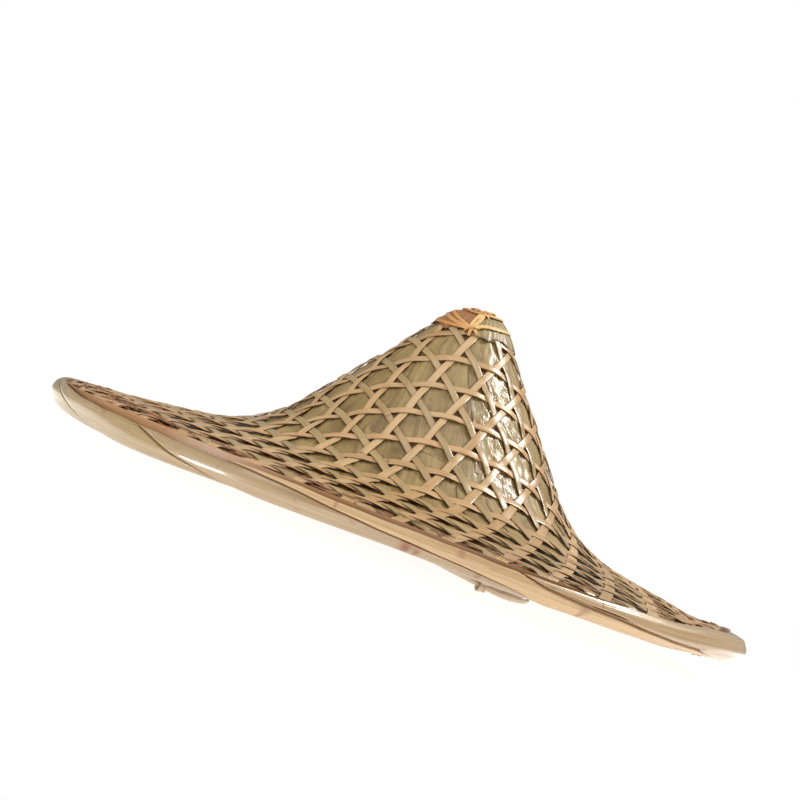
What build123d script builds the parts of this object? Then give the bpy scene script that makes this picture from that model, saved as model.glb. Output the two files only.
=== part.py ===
from build123d import *

import os
from bisect import bisect_right
from math import acos, atan2, cos, degrees, exp, hypot, log, pi, radians, sin, sqrt

os.makedirs("parts", exist_ok=True)

# Frame: +Z up, the front of the hat looks along -Y, +X is to the right from the front.
# Azimuth 0 is the front and grows towards +X.  All lengths are millimetres.

# ---- driving dimensions -------------------------------------------------------------
HAT_D = 440.0            # over the rim
RIM_H = 17.0             # height of the rim
CONE_SLOPE = 51.5        # degrees below horizontal, going outward
TIP_R = 29.0             # rounding of the woven tip
CROWN_R = 80.6           # where the cone starts to flare
FLARE_R = 80.0           # radius of the flare
BRIM_SLOPE_IN = 9.5      # degrees, at the end of the flare
BRIM_SLOPE_OUT = 6.0     # degrees, at the rim
EDGE_BEND_R = 6.0        # the canopy's edge turns down into the rim
SKIRT = 2.0              # straight part after that bend

STRIP_W = 4.5            # bamboo strips of the two open weaves
STRIP_T = 0.6
WAVE = 0.45              # how far a strip rises and dips over its neighbours
LATTICE = 22.1           # spacing of parallel strips
FIRST_PEAK = 18.4        # azimuth of the first strip family, degrees
FAMILIES = 4             # strip directions round the cone, 90 degrees apart
INNER_WEAVE = -3.6       # offset of the inner weave from the outer one

LEAF_T = 0.26
LEAF_TOP = -0.80         # outer face of the uppermost leaves, from the outer weave's middle
LEAF_STEP = 0.34         # each further leaf lies this much lower
LEAF_LAP = 3.0           # degrees that a leaf runs under its neighbour
TIER_LAP = 4.0           # how far a tier of leaves runs over the next one

GAP = 0.2                # assembly clearance
RIM_SPLIT_T = 2.0
RIM_SPLIT_INNER_R = 209.2      # the splits fold over the edge and stop here, top and bottom
# Each split starts on top of the one before: (azimuth of its tip, azimuths it slants over).
RIM_SPLITS = ((-76, 28), (-13, 38), (17, 52), (84, 40), (150, 40), (215, 40))
RIM_JOINT = 0.08         # half the gap between two splits, degrees
RIM_FACETS = 12          # flats across a split
RIM_HOOP_R = (211.0, 215.0)
RIM_HOOP_Z = (3.4, 13.4)
RIM_ROD = (208.3, 4.4, 1.8)    # radius, height over the rim's bottom, rod radius
INNER_HOOP_R = (202.5, 204.8)
INNER_HOOP_Z = (1.6, 9.4)
RIM_TIES = 24
RIM_TIE_W = 4.0
RIM_TIE_T = 0.6

RING_DROP = 12.0         # lowest point of the head ring below the rim
RING_TILT = 8.0          # degrees, the ring hangs lower on one side
RING_LOW_AT = 70.0       # azimuth of that side
RING_H = 26.0
RING_BORE_R = 84.0
RING_BAND_T = 2.5
STRAPS = 6
STRAP_W = 5.0
STRAP_T = 0.7
RING_OUTER_R = RING_BORE_R + 2 * RING_BAND_T + STRAP_T + 2 * GAP

TIP_BASE = 0.85          # underside of the first wrap, over the outer weave's middle
TIP_WRAP_T = 0.4
TIP_WRAPS = ((55, 12.0, 40.0), (150, 11.0, 36.0), (100, 10.0, 33.0))   # azimuth, width, reach
TIP_BIND_R = 0.8
TIP_BIND_AT = (18.5, 20.5)     # lengths along the profile


# ---- the canopy's profile, as a chain of arcs and lines ------------------------------
RIM_Z = RING_DROP
RIM_MID_R = HAT_D / 2 - RIM_H / 2
BEND_START_R = RIM_MID_R - 8.0
BEND_START_Z = RIM_Z + RIM_H - 2.1


def chain():
    """Segments (length, slope at start, slope at end), slopes in radians."""
    cone, brim_in, brim_out = (radians(a) for a in (CONE_SLOPE, BRIM_SLOPE_IN, BRIM_SLOPE_OUT))
    cone_len = (CROWN_R - TIP_R * sin(cone)) / cos(cone)
    flare_end_r = CROWN_R + FLARE_R * (sin(cone) - sin(brim_in))
    brim_bend_r = (BEND_START_R - flare_end_r) / (sin(brim_in) - sin(brim_out))
    return [
        ("tip", TIP_R * cone, 0.0, cone),
        ("cone", cone_len, cone, cone),
        ("flare", FLARE_R * (cone - brim_in), cone, brim_in),
        ("brim", brim_bend_r * (brim_in - brim_out), brim_in, brim_out),
        ("bend", EDGE_BEND_R * (pi / 2 - brim_out), brim_out, pi / 2),
        ("skirt", SKIRT, pi / 2, pi / 2),
    ]


def walk(offset=0.0):
    """Corner points (r, z, slope) of the profile, moved along its outward normal."""
    r, z = 0.0, 0.0
    corners = [(r, z, 0.0)]
    for _, length, start, end in chain():
        if abs(end - start) < 1e-9:
            r += length * cos(start)
            z -= length * sin(start)
        else:
            radius = length / (end - start)
            r += radius * (sin(end) - sin(start))
            z += radius * (cos(end) - cos(start))
        corners.append((r, z, end))
    lift = BEND_START_Z - corners[4][1]
    return [(r + offset * sin(a), z + lift + offset * cos(a), a) for r, z, a in corners]


CORNERS = walk()
STARTS = [0.0]
for segment in chain():
    STARTS.append(STARTS[-1] + segment[1])
LENGTH = STARTS[-1]


def profile(s):
    """Radius, height and slope at the length s along the profile."""
    i = min(bisect_right(STARTS, s) - 1, len(STARTS) - 2)
    _, length, start, end = chain()[i]
    r, z, _ = CORNERS[i]
    t = s - STARTS[i]
    if abs(end - start) < 1e-9:
        return r + t * cos(start), z - t * sin(start), start
    radius = length / (end - start)
    slope = start + t / radius
    return r + radius * (sin(slope) - sin(start)), z + radius * (cos(slope) - cos(start)), slope


# ---- the weave's flat lattice, laid on the canopy ------------------------------------
# A cone of four 60-degree sectors carries the three-way lattice without a seam.  The map
# keeps angles, so d(ln rho) = 2/3 ds / r, with rho the radius in the flat lattice.
TURN = 6.0 / FAMILIES


def lattice_table(step=0.5):
    lengths, rhos = [], []
    count = int(LENGTH / step)
    rho_log = 0.0
    s = 1.0
    radius_before = profile(s)[0]
    while s <= LENGTH + 1e-9:
        lengths.append(s)
        rhos.append(rho_log)
        radius = profile(min(s + step, LENGTH))[0]
        rho_log += step / (TURN * 0.5 * (radius + radius_before))
        radius_before = radius
        s += step
    base = lengths.index(min(lengths, key=lambda x: abs(x - STARTS[2])))
    base_rho = TURN * CROWN_R / 0.94
    shift = log(base_rho) - rhos[base]
    return lengths, [exp(v + shift) for v in rhos]


LENGTHS, RHOS = lattice_table()


def length_at(rho):
    i = min(max(bisect_right(RHOS, rho) - 1, 0), len(RHOS) - 2)
    t = (rho - RHOS[i]) / (RHOS[i + 1] - RHOS[i])
    return LENGTHS[i] + t * (LENGTHS[i + 1] - LENGTHS[i])


def rho_at(s):
    i = min(max(bisect_right(LENGTHS, s) - 1, 0), len(LENGTHS) - 2)
    t = (s - LENGTHS[i]) / (LENGTHS[i + 1] - LENGTHS[i])
    return RHOS[i] + t * (RHOS[i + 1] - RHOS[i])


def on_canopy(x, y, peak, offset):
    """Point over the lattice position (x, y) of the family with that peak azimuth."""
    rho = hypot(x, y)
    r, z, slope = profile(length_at(rho))
    azimuth = peak + TURN * atan2(y, x)
    r += offset * sin(slope)
    return Vector(r * sin(azimuth), -r * cos(azimuth), z + offset * cos(slope))


def wave(y, n):
    """Rise of strip n at y: over and under its neighbours in turn, flat on each crossing."""
    turn = 2 * pi * (y / (LATTICE / cos(radians(30))) - 0.25)
    return (cos(turn) - cos(3 * turn) / 9) * 9 / 8 * (1 if n % 2 == 0 else -1)


def strip_stations(h):
    """Lattice positions along a strip, closer together where the canopy's edge bends."""
    step = LATTICE / cos(radians(30)) / 8
    half_w = 0.5 * STRIP_W
    bend = sqrt(rho_at(STARTS[4]) ** 2 - h * h)
    end = sqrt(rho_at(LENGTH - 0.3) ** 2 - (h + half_w) ** 2)
    count = int(bend / step)
    half = [i * step for i in range(1, count + 1)]
    fine = max(4, int((end - half[-1]) / (0.4 * step)))
    half += [half[-1] + (end - half[-1]) * (i + 1) / fine for i in range(fine)]
    return [-v for v in reversed(half)] + [0.0] + half


def strip(n, peak, offset):
    """One bamboo strip as a solid: four corner rails with ruled faces between them."""
    h = (n + 0.5) * LATTICE
    stations = strip_stations(h)
    rails = []
    for side, top in ((-1, 1), (1, 1), (1, -1), (-1, -1)):
        points = []
        for y in stations:
            rho = hypot(h, y)
            scale = profile(length_at(rho))[0] * TURN / rho
            x = h + side * 0.5 * STRIP_W / scale
            rise = offset + WAVE * wave(y, n) + top * 0.5 * STRIP_T
            points.append(on_canopy(x, y, peak, rise))
        rails.append(points)
    params = [i / (len(stations) - 1) for i in range(len(stations))]
    edges = [Edge.make_spline(points, parameters=params) for points in rails]
    faces = [Face.make_surface_from_curves(edges[i], edges[(i + 1) % 4]) for i in range(4)]
    for end in (0, -1):
        a, b, c, d = (rail[end] for rail in rails)
        faces.append(Face.make_surface_from_curves(Edge.make_line(a, b), Edge.make_line(d, c)))
    return Solid(Shell(faces))


def weave(offset, name):
    """The four families of one open weave, each family a node of separate strips."""
    widest = rho_at(STARTS[4]) - STRIP_W
    for k in range(FAMILIES):
        peak = radians(FIRST_PEAK + 90 * k)
        strips = []
        n = 0
        while (n + 0.5) * LATTICE < widest:
            strips.append(strip(n, peak, offset))
            n += 1
        save(strips, f"{name}_strips_{k + 1}")


def save(solids, name):
    for solid in solids:
        solid.label = name
    shape = solids[0] if len(solids) == 1 else Compound(children=solids)
    shape.label = name
    export_step(shape, f"parts/{name}.step")


# ---- solids of revolution --------------------------------------------------------------
def turned(face, start=0.0, sweep=360.0):
    """Revolve a face of the XZ plane about Z, from an azimuth and over a sweep, in degrees."""
    solid = revolve(face, Axis.Z, sweep)
    # A face in the XZ plane points at azimuth 90.
    return solid.rotate(Axis.Z, start - 90.0)


def ring_face(r0, r1, z0, z1):
    return Face(Wire.make_polygon([(r0, 0, z0), (r1, 0, z0), (r1, 0, z1), (r0, 0, z1)]))


def profile_edges(s0, s1, offset):
    """Exact lines and arcs of the profile between two lengths, moved along the normal."""
    edges = []
    for i, (_, length, start, end) in enumerate(chain()):
        a, b = max(s0, STARTS[i]), min(s1, STARTS[i + 1])
        if b - a < 1e-6:
            continue
        points = []
        for s in (a, 0.5 * (a + b), b):
            r, z, slope = profile(min(s, LENGTH) - (1e-9 if s == STARTS[i + 1] else 0.0))
            points.append((r + offset * sin(slope), 0, z + offset * cos(slope)))
        if abs(end - start) < 1e-9:
            edges.append(Edge.make_line(points[0], points[2]))
        else:
            edges.append(Edge.make_three_point_arc(*points))
    return edges


def shell_face(s0, s1, outer, thickness):
    """Cross-section of a shell that follows the profile."""
    top = profile_edges(s0, s1, outer)
    bottom = profile_edges(s0, s1, outer - thickness)
    ends = [Edge.make_line(top[i] @ i_end, bottom[i] @ i_end) for i, i_end in ((0, 0), (-1, 1))]
    return Face(Wire(top + bottom + ends))


def leaves():
    """Three tiers of leaves.  In a tier they lie on two levels in turn, so that they lap."""
    tiers = (
        ("crown_leaf", 4.0, STARTS[2] + TIER_LAP, 8),
        ("shoulder_leaf", STARTS[2], STARTS[3] + TIER_LAP, 10),
        ("brim_leaf", STARTS[3], LENGTH - 1.0, 12),
    )
    for tier, (name, s0, s1, count) in enumerate(tiers):
        pitch = 360.0 / count
        for i in range(count):
            level = LEAF_TOP - LEAF_STEP * (2 * tier + i % 2)
            face = shell_face(s0, s1, level, LEAF_T)
            panel = turned(face, i * pitch - LEAF_LAP, pitch + 2 * LEAF_LAP)
            save([panel], f"{name}_{i + 1:02d}")


# ---- the rim ---------------------------------------------------------------------------
def rim():
    hoop = ring_face(*RIM_HOOP_R, RIM_Z + RIM_HOOP_Z[0], RIM_Z + RIM_HOOP_Z[1])
    save([turned(hoop)], "rim_hoop_outer")
    hoop = ring_face(*INNER_HOOP_R, RIM_Z + INNER_HOOP_Z[0], RIM_Z + INNER_HOOP_Z[1])
    save([turned(hoop)], "rim_hoop_inner")
    r, z, rod_r = RIM_ROD
    rod = Solid.make_torus(r, rod_r).moved(Location((0, 0, RIM_Z + z)))
    save([rod], "rim_rod")

    count = len(RIM_SPLITS)
    for i in range(count):
        start, slant = RIM_SPLITS[i]
        end, end_slant = RIM_SPLITS[(i + 1) % count]
        if end < start:
            end += 360
        save([rim_split(start, slant, end, end_slant)], f"rim_split_{i + 1}")


def rim_split(start, slant, end, end_slant):
    """A split folded over the edge: arcs along the rim with ruled faces between them."""
    mid = RIM_Z + RIM_H / 2
    reach = degrees(pi - acos((RIM_MID_R - RIM_SPLIT_INNER_R) / (RIM_H / 2)))
    rows = []
    for thickness in (0.0, RIM_SPLIT_T):
        radius = RIM_H / 2 - thickness
        row = []
        for i in range(RIM_FACETS + 1):
            t = i / RIM_FACETS
            around = radians(reach * (1 - 2 * t))
            r, z = RIM_MID_R + radius * cos(around), mid + radius * sin(around)
            a0, a1 = start + slant * t + RIM_JOINT, end + end_slant * t - RIM_JOINT
            points = [at_azimuth(r, z, a) for a in (a0, 0.5 * (a0 + a1), a1)]
            row.append(Edge.make_three_point_arc(*points))
        rows.append(row)
    outline = rows[0] + rows[1][::-1]
    faces = [
        Face.make_surface_from_curves(outline[i], outline[(i + 1) % len(outline)])
        for i in range(len(outline))
    ]
    for i in range(RIM_FACETS):
        quad = [rows[0][i], rows[0][i + 1], rows[1][i + 1], rows[1][i]]
        for end_at in (0, 1):
            a, b, c, d = (edge @ end_at for edge in quad)
            faces.append(Face.make_surface_from_curves(Edge.make_line(a, b), Edge.make_line(d, c)))
    return Solid(Shell(faces))


def at_azimuth(r, z, azimuth):
    return Vector(r * sin(radians(azimuth)), -r * cos(radians(azimuth)), z)


def rim_ties():
    """Flat strips folded round the inner hoop, under the canopy's edge."""
    r_in = INNER_HOOP_R[0] - GAP - RIM_TIE_T
    z_low = RIM_Z + INNER_HOOP_Z[0] - GAP - RIM_TIE_T
    z_top = RIM_Z + INNER_HOOP_Z[1]
    r_out = RIM_SPLIT_INNER_R - GAP
    t = RIM_TIE_T
    outline = [
        (r_in, z_top), (r_in, z_low), (r_out, z_low), (r_out, z_low + t), (r_in + t, z_low + t),
        (r_in + t, z_top),
    ]
    face = Face(Wire.make_polygon([(r, 0, z) for r, z in outline]))
    tie = extrude(face, RIM_TIE_W / 2, dir=(0, 1, 0), both=True)
    step = 360.0 / RIM_TIES
    save([tie.rotate(Axis.Z, i * step) for i in range(RIM_TIES)], "rim_ties")


# ---- head ring, hung inside the crown --------------------------------------------------
def ring_place():
    """Location of the ring's middle: tilted, its lowest point at z = 0."""
    tilt = radians(RING_TILT)
    centre_z = RING_OUTER_R * sin(tilt) + 0.5 * RING_H * cos(tilt)
    towards = Location((0, 0, centre_z), (0, 0, RING_LOW_AT - 90))
    return towards * Location((0, 0, 0), (0, RING_TILT, 0))


def head_ring():
    place = ring_place()
    half = RING_H / 2
    inner = turned(ring_face(RING_BORE_R, RING_BORE_R + RING_BAND_T, -half + 1, half - 1))
    outer = turned(ring_face(RING_OUTER_R - RING_BAND_T, RING_OUTER_R, -half, half))
    save([inner.moved(place)], "head_ring_inner")
    save([outer.moved(place)], "head_ring_outer")


def head_straps():
    """Flat loops round the ring's outer band, between the two bands and up to the weave."""
    place = ring_place()
    r_in = RING_BORE_R + RING_BAND_T + GAP
    r_out = RING_OUTER_R + GAP
    z_low = -RING_H / 2 - GAP
    straps = []
    for i in range(STRAPS):
        azimuth = 360.0 * i / STRAPS
        top = strap_top(azimuth, r_out + STRAP_T)
        loop = ring_face(r_in, r_out + STRAP_T, z_low - STRAP_T, top)
        loop -= ring_face(r_in + STRAP_T, r_out, z_low, top - STRAP_T)
        strap = extrude(loop.faces()[0], STRAP_W / 2, dir=(0, 1, 0), both=True)
        straps.append(strap.rotate(Axis.Z, azimuth - 90.0).moved(place))
    save(straps, "head_straps")


def strap_top(azimuth, radius):
    """Height over the ring's middle where a strap meets the inner weave's underside."""
    under = INNER_WEAVE - WAVE - STRIP_T / 2 - 2 * GAP
    place = ring_place()
    height = RING_H / 2
    while height < 60:
        corner = (radius * sin(radians(azimuth)), -radius * cos(radians(azimuth)), height + 0.5)
        world = (place * Location(corner)).position
        if clearance(hypot(world.X, world.Y), world.Z) > under:
            break
        height += 0.5
    return height


def clearance(r, z):
    """Signed height of a point over the canopy's middle surface, along its normal."""
    best = min((hypot(profile(s)[0] - r, profile(s)[1] - z), s) for s in range(10, int(LENGTH), 1))
    pr, pz, slope = profile(best[1])
    return (r - pr) * sin(slope) + (z - pz) * cos(slope)


# ---- the wrapped tip -------------------------------------------------------------------
def tip():
    """Splits laid over the tip one across another, and the two turns that bind them."""
    for i, (azimuth, width, reach) in enumerate(TIP_WRAPS):
        bottom = TIP_BASE + i * (TIP_WRAP_T + 0.1)
        cap = turned(shell_face(0.0, reach, bottom + TIP_WRAP_T, TIP_WRAP_T))
        slab = Box(width, 300, 600).rotate(Axis.Z, azimuth)
        save([(cap & slab).solids()[0]], f"tip_wrap_{i + 1}")
    rise = TIP_BASE + len(TIP_WRAPS) * (TIP_WRAP_T + 0.1) + TIP_BIND_R
    turns = []
    for s in TIP_BIND_AT:
        r, z, slope = profile(s)
        turn = Solid.make_torus(r + rise * sin(slope), TIP_BIND_R)
        turns.append(turn.moved(Location((0, 0, z + rise * cos(slope)))))
    save(turns, "tip_binding")


def main():
    weave(0.0, "outer")
    weave(INNER_WEAVE, "inner")
    leaves()
    rim()
    rim_ties()
    head_ring()
    head_straps()
    tip()


main()
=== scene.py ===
from math import cos, pi, radians, sin, tau

import bmesh
import bpy
import numpy as np
from mathutils import Matrix, Vector


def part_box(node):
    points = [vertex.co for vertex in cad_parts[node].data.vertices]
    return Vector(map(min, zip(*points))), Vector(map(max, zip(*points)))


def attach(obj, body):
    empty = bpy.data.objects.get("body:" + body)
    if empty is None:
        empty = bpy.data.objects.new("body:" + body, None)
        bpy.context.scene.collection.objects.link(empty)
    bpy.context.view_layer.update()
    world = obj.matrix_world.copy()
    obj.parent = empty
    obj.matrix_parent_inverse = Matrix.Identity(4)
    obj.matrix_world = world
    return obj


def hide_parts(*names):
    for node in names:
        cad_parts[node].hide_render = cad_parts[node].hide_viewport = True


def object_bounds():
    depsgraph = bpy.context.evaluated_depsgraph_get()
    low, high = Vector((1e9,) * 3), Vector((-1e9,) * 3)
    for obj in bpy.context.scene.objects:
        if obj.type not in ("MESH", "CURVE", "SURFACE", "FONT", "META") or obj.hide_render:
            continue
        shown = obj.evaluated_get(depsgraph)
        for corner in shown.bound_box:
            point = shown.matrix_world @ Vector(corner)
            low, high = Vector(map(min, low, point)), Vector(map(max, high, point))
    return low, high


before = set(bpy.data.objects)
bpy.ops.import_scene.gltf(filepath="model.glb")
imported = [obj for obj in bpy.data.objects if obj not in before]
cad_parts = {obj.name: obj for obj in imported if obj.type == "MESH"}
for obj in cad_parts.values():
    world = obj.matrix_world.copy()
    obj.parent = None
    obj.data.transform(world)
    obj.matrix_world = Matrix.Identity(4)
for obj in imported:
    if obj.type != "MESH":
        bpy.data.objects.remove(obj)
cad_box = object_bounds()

# A woven bamboo rain hat.  Lengths are in metres in the CAD frame: +Z up, the front
# along -Y.  Azimuth 0 is the front and grows towards +X.
MM = 0.001
rng = np.random.default_rng(7)

# ---- sizes shared with the CAD model ---------------------------------------------------
CONE_SLOPE, BRIM_SLOPE_IN, BRIM_SLOPE_OUT = radians(51.5), radians(9.5), radians(6.0)
TIP_R = 29.0 * MM             # radius of the rounded tip's profile
CROWN_R = 80.6 * MM           # where the cone ends and flares into the brim
FLARE_R = 80.0 * MM
WRAP_RUN = 4.8 * MM           # the weave runs on over the rim's core
CORE_R = 6.6 * MM             # and turns down round it, under the rim's splits
WRAP_END = radians(85)
STRIP_W = 4.5 * MM
STRIP_T = 0.6 * MM
WAVE = 0.45 * MM              # how far a strip rises and sinks at a crossing
LATTICE = 22.1 * MM           # distance between the strips of one family
FIRST_PEAK = radians(18.4)    # azimuth where the first family comes closest to the tip
FAMILIES = 4                  # directions of strips round the cone
STRIPS = 11                   # strips in each family
TURN = 6.0 / FAMILIES         # a flat weave repeats 6 times in a turn, and this one 4 times
INNER_WEAVE = -3.6 * MM       # the inner weave's height over the outer one
# azimuths of the line where each rim split starts, from the top of the rim to its bottom
RIM_STARTS = (
    (-78, -68, -57, -48, -40), (-43, -37, -30, -23, -15), (-28, -5, 17, 21, 24),
    (17, 24, 46, 59, 66), (84, 94, 104, 114, 124), (150, 160, 170, 180, 190),
    (215, 225, 235, 245, 255),
)
RIM_REACH = radians(105.7)    # how far the splits reach down and under the rim
RING_TILT = radians(8.0)
RING_LOW_AT = radians(70.0)

RIM_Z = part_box("rim_split_1")[0].z
RIM_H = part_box("rim_split_1")[1].z - RIM_Z
HAT_R = 0.5 * (cad_box[1][0] - cad_box[0][0])
RIM_MID_R = HAT_R - RIM_H / 2
RIM_MID_Z = RIM_Z + RIM_H / 2
BEND_START_R = RIM_MID_R - 8.0 * MM
BEND_START_Z = RIM_Z + RIM_H - 2.1 * MM

# The splits shown on the rim lie on a tube a little slimmer than the CAD rim.
COVER_R = 7.6 * MM
COVER_MID_R = HAT_R - COVER_R
COVER_MID_Z = RIM_Z + 7.7 * MM
END_PULL, END_LIFT = 11.0 * MM, 2.6 * MM    # the rim is bent inwards and up at its right end


# ---- the canopy's profile --------------------------------------------------------------
def canopy_table(step=0.25 * MM):
    """Length, radius, height and slope along the canopy, and the weave's flat radius."""
    flare_end = CROWN_R + FLARE_R * (sin(CONE_SLOPE) - sin(BRIM_SLOPE_IN))
    brim_bend_r = (BEND_START_R - flare_end) / (sin(BRIM_SLOPE_IN) - sin(BRIM_SLOPE_OUT))
    runs = (
        (TIP_R * CONE_SLOPE, 0.0, CONE_SLOPE),
        ((CROWN_R - TIP_R * sin(CONE_SLOPE)) / cos(CONE_SLOPE), CONE_SLOPE, CONE_SLOPE),
        (FLARE_R * (CONE_SLOPE - BRIM_SLOPE_IN), CONE_SLOPE, BRIM_SLOPE_IN),
        (brim_bend_r * (BRIM_SLOPE_IN - BRIM_SLOPE_OUT), BRIM_SLOPE_IN, BRIM_SLOPE_OUT),
        (WRAP_RUN, BRIM_SLOPE_OUT, BRIM_SLOPE_OUT),
        (CORE_R * (WRAP_END - BRIM_SLOPE_OUT), BRIM_SLOPE_OUT, WRAP_END),
    )
    marks = np.concatenate(([0.0], np.cumsum([run[0] for run in runs])))
    s = np.arange(0.0, marks[-1], step)
    slope = np.interp(s, marks, [runs[0][1]] + [run[2] for run in runs])
    mid = 0.5 * (slope[1:] + slope[:-1])
    r = np.concatenate(([0.0], np.cumsum(np.diff(s) * np.cos(mid))))
    z = -np.concatenate(([0.0], np.cumsum(np.diff(s) * np.sin(mid))))
    z += BEND_START_Z - np.interp(marks[4], s, z)
    # The map from the flat lattice keeps angles: d(ln rho) = ds / (TURN * r).  It starts
    # a few steps from the axis, and at CROWN_R it shrinks the lattice to 0.94.
    first = 4
    log_rho = np.zeros_like(s)
    mid_r = 0.5 * (r[first + 1:] + r[first:-1])
    log_rho[first + 1:] = np.cumsum(np.diff(s[first:]) / (TURN * mid_r))
    rho = np.exp(log_rho - np.interp(marks[2], s, log_rho)) * TURN * CROWN_R / 0.94
    return s, r, z, slope, rho, marks


S, R, Z, SLOPE, RHO, MARKS = canopy_table()


def smooth_step(x):
    """0 up to 0 and 1 from 1, with a soft start and end."""
    x = np.clip(x, 0.0, 1.0)
    return x * x * (3 - 2 * x)


def facing(azimuth, centre, half):
    """1 at an azimuth in degrees, falling to 0 at half as many degrees on either side."""
    away = np.abs((azimuth - radians(centre) + pi) % tau - pi)
    return smooth_step(1.0 - away / radians(half))


def slow_noise(t, wavelength, amount):
    """A smooth wandering value along t, a sum of three sines."""
    total = np.zeros_like(t)
    for k in (1.0, 1.7, 2.9):
        total += np.sin(t * tau * k / wavelength + rng.uniform(0, tau)) / k
    return total * amount / 1.6


def around_axis(r, z, azimuth):
    """Points at a radius, a height and an azimuth."""
    return np.stack(np.broadcast_arrays(r * np.sin(azimuth), -r * np.cos(azimuth), z), axis=-1)


def bent_rim(r, z, angle):
    """Points near the rim as it is bent: pulled in and lifted a little at its right end."""
    degrees = np.degrees(angle) % 360
    lift = smooth_step((degrees - 44) / 16) - smooth_step((degrees - 92) / 14)
    z = z + END_LIFT * lift * smooth_step((r - 188 * MM) / (14 * MM))
    r = r - END_PULL * facing(angle, 94, 34) * smooth_step((r - 162 * MM) / (40 * MM))
    return around_axis(r, z, angle)


def canopy(s, azimuth, offset):
    """Points over the canopy at a length along the profile, an azimuth and an offset."""
    r, z, slope = (np.interp(s, S, column) for column in (R, Z, SLOPE))
    r = r + offset * np.sin(slope)
    z = z + offset * np.cos(slope)
    return bent_rim(r, z, azimuth)


# ---- mesh making -----------------------------------------------------------------------
LABELS = ("tone", "hue", "mark", "seed")
# section of a split: width and thickness as fractions, flat below and rounded above
BAND = np.array(
    [(-0.50, -0.1), (-0.45, -0.5), (0.45, -0.5), (0.50, -0.1), (0.49, 0.2), (0.41, 0.43),
     (0.2, 0.5), (-0.2, 0.5), (-0.41, 0.43), (-0.49, 0.2)]
)


class Sheets:
    """Gathers grids of points into one mesh, with UVs in metres and values per point."""

    def __init__(self):
        self.points, self.quads, self.uvs, self.caps = [], [], [], []
        self.values = {label: [] for label in LABELS}
        self.count = 0

    def _points(self, points, values):
        """Keeps a grid of points with their values and returns their numbers."""
        rows, columns = points.shape[:2]
        self.points.append(points.reshape(-1, 3))
        for label in LABELS:
            value = np.broadcast_to(values.get(label, 0.0), (rows, columns))
            self.values[label].append(value.reshape(-1))
        index = np.arange(rows * columns).reshape(rows, columns) + self.count
        self.count += rows * columns
        return index

    def _skin(self, index, uv):
        """Fills a grid of point numbers with quads."""
        def corners(a):
            return np.stack((a[:-1, :-1], a[:-1, 1:], a[1:, 1:], a[1:, :-1]), axis=2)

        self.quads.append(corners(index).reshape(-1, 4))
        self.uvs.append(corners(uv).reshape(-1, 2))

    def tube(self, points, uv, **values):
        """A closed band: the last column joins the first, and both ends are capped."""
        index = self._points(points, values)
        ring = np.concatenate((index, index[:, :1]), axis=1)
        last = uv[:, -1:] + (uv[:, 1:2] - uv[:, :1])
        self._skin(ring, np.concatenate((uv, last), axis=1))
        self.caps += [index[0].tolist(), index[-1][::-1].tolist()]

    def slab(self, top, bottom, uv, **values):
        """A thin sheet with two faces and closed edges."""
        a, b = self._points(top, values), self._points(bottom, values)
        self._skin(a, uv)
        self._skin(b[:, ::-1], uv[:, ::-1])
        for edge in (np.s_[0, :], np.s_[-1, :], np.s_[:, 0], np.s_[:, -1]):
            self._skin(np.stack((a[edge], b[edge])), np.stack((uv[edge], uv[edge])))

    def ribbon(self, centre, normal, width, thickness, **values):
        """A flat band along a line of points, its flat face along the normals."""
        along = np.gradient(centre, axis=0)
        along /= np.linalg.norm(along, axis=1, keepdims=True)
        side = np.cross(along, normal)
        side /= np.linalg.norm(side, axis=1, keepdims=True)
        up = np.cross(side, along)
        width = np.broadcast_to(width, len(centre))[:, None, None]
        points = centre[:, None] + side[:, None] * BAND[None, :, :1] * width
        points = points + up[:, None] * BAND[None, :, 1:] * thickness
        length = np.concatenate(([0.0], np.cumsum(np.linalg.norm(np.diff(centre, axis=0), axis=1))))
        girth = np.arange(len(BAND)) * 0.9 * MM
        uv = np.stack(np.broadcast_arrays(length[:, None], girth[None, :]), axis=-1)
        self.tube(points, uv, **values)

    def build(self, name, material, nodes=(), sharp=40.0):
        """Makes the piece, on the body root and in place of the CAD nodes named."""
        mesh = bpy.data.meshes.new(name)
        quads = np.concatenate(self.quads)
        mesh.from_pydata(np.concatenate(self.points).tolist(), [], quads.tolist() + self.caps)
        flat = np.zeros((len(mesh.loops), 2))
        corner_uv = np.concatenate(self.uvs)
        flat[:len(corner_uv)] = corner_uv
        mesh.uv_layers.new(name="UVMap").data.foreach_set("uv", flat.ravel())
        for label in LABELS:
            values = np.concatenate(self.values[label]).astype(np.float32)
            mesh.attributes.new(label, "FLOAT", "POINT").data.foreach_set("value", values)
        work = bmesh.new()
        work.from_mesh(mesh)
        bmesh.ops.recalc_face_normals(work, faces=work.faces)
        work.to_mesh(mesh)
        work.free()
        mesh.polygons.foreach_set("use_smooth", [True] * len(mesh.polygons))
        mesh.set_sharp_from_angle(angle=radians(sharp))
        mesh.materials.append(material)
        piece = bpy.data.objects.new(name, mesh)
        bpy.context.scene.collection.objects.link(piece)
        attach(piece, "root")
        if nodes:
            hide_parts(*nodes)
        return piece


# ---- materials -------------------------------------------------------------------------
def srgb(r, g, b):
    """A colour given in sRGB from 0 to 255, as linear values."""
    return tuple(((c / 255 + 0.055) / 1.055) ** 2.4 for c in (r, g, b))


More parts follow.
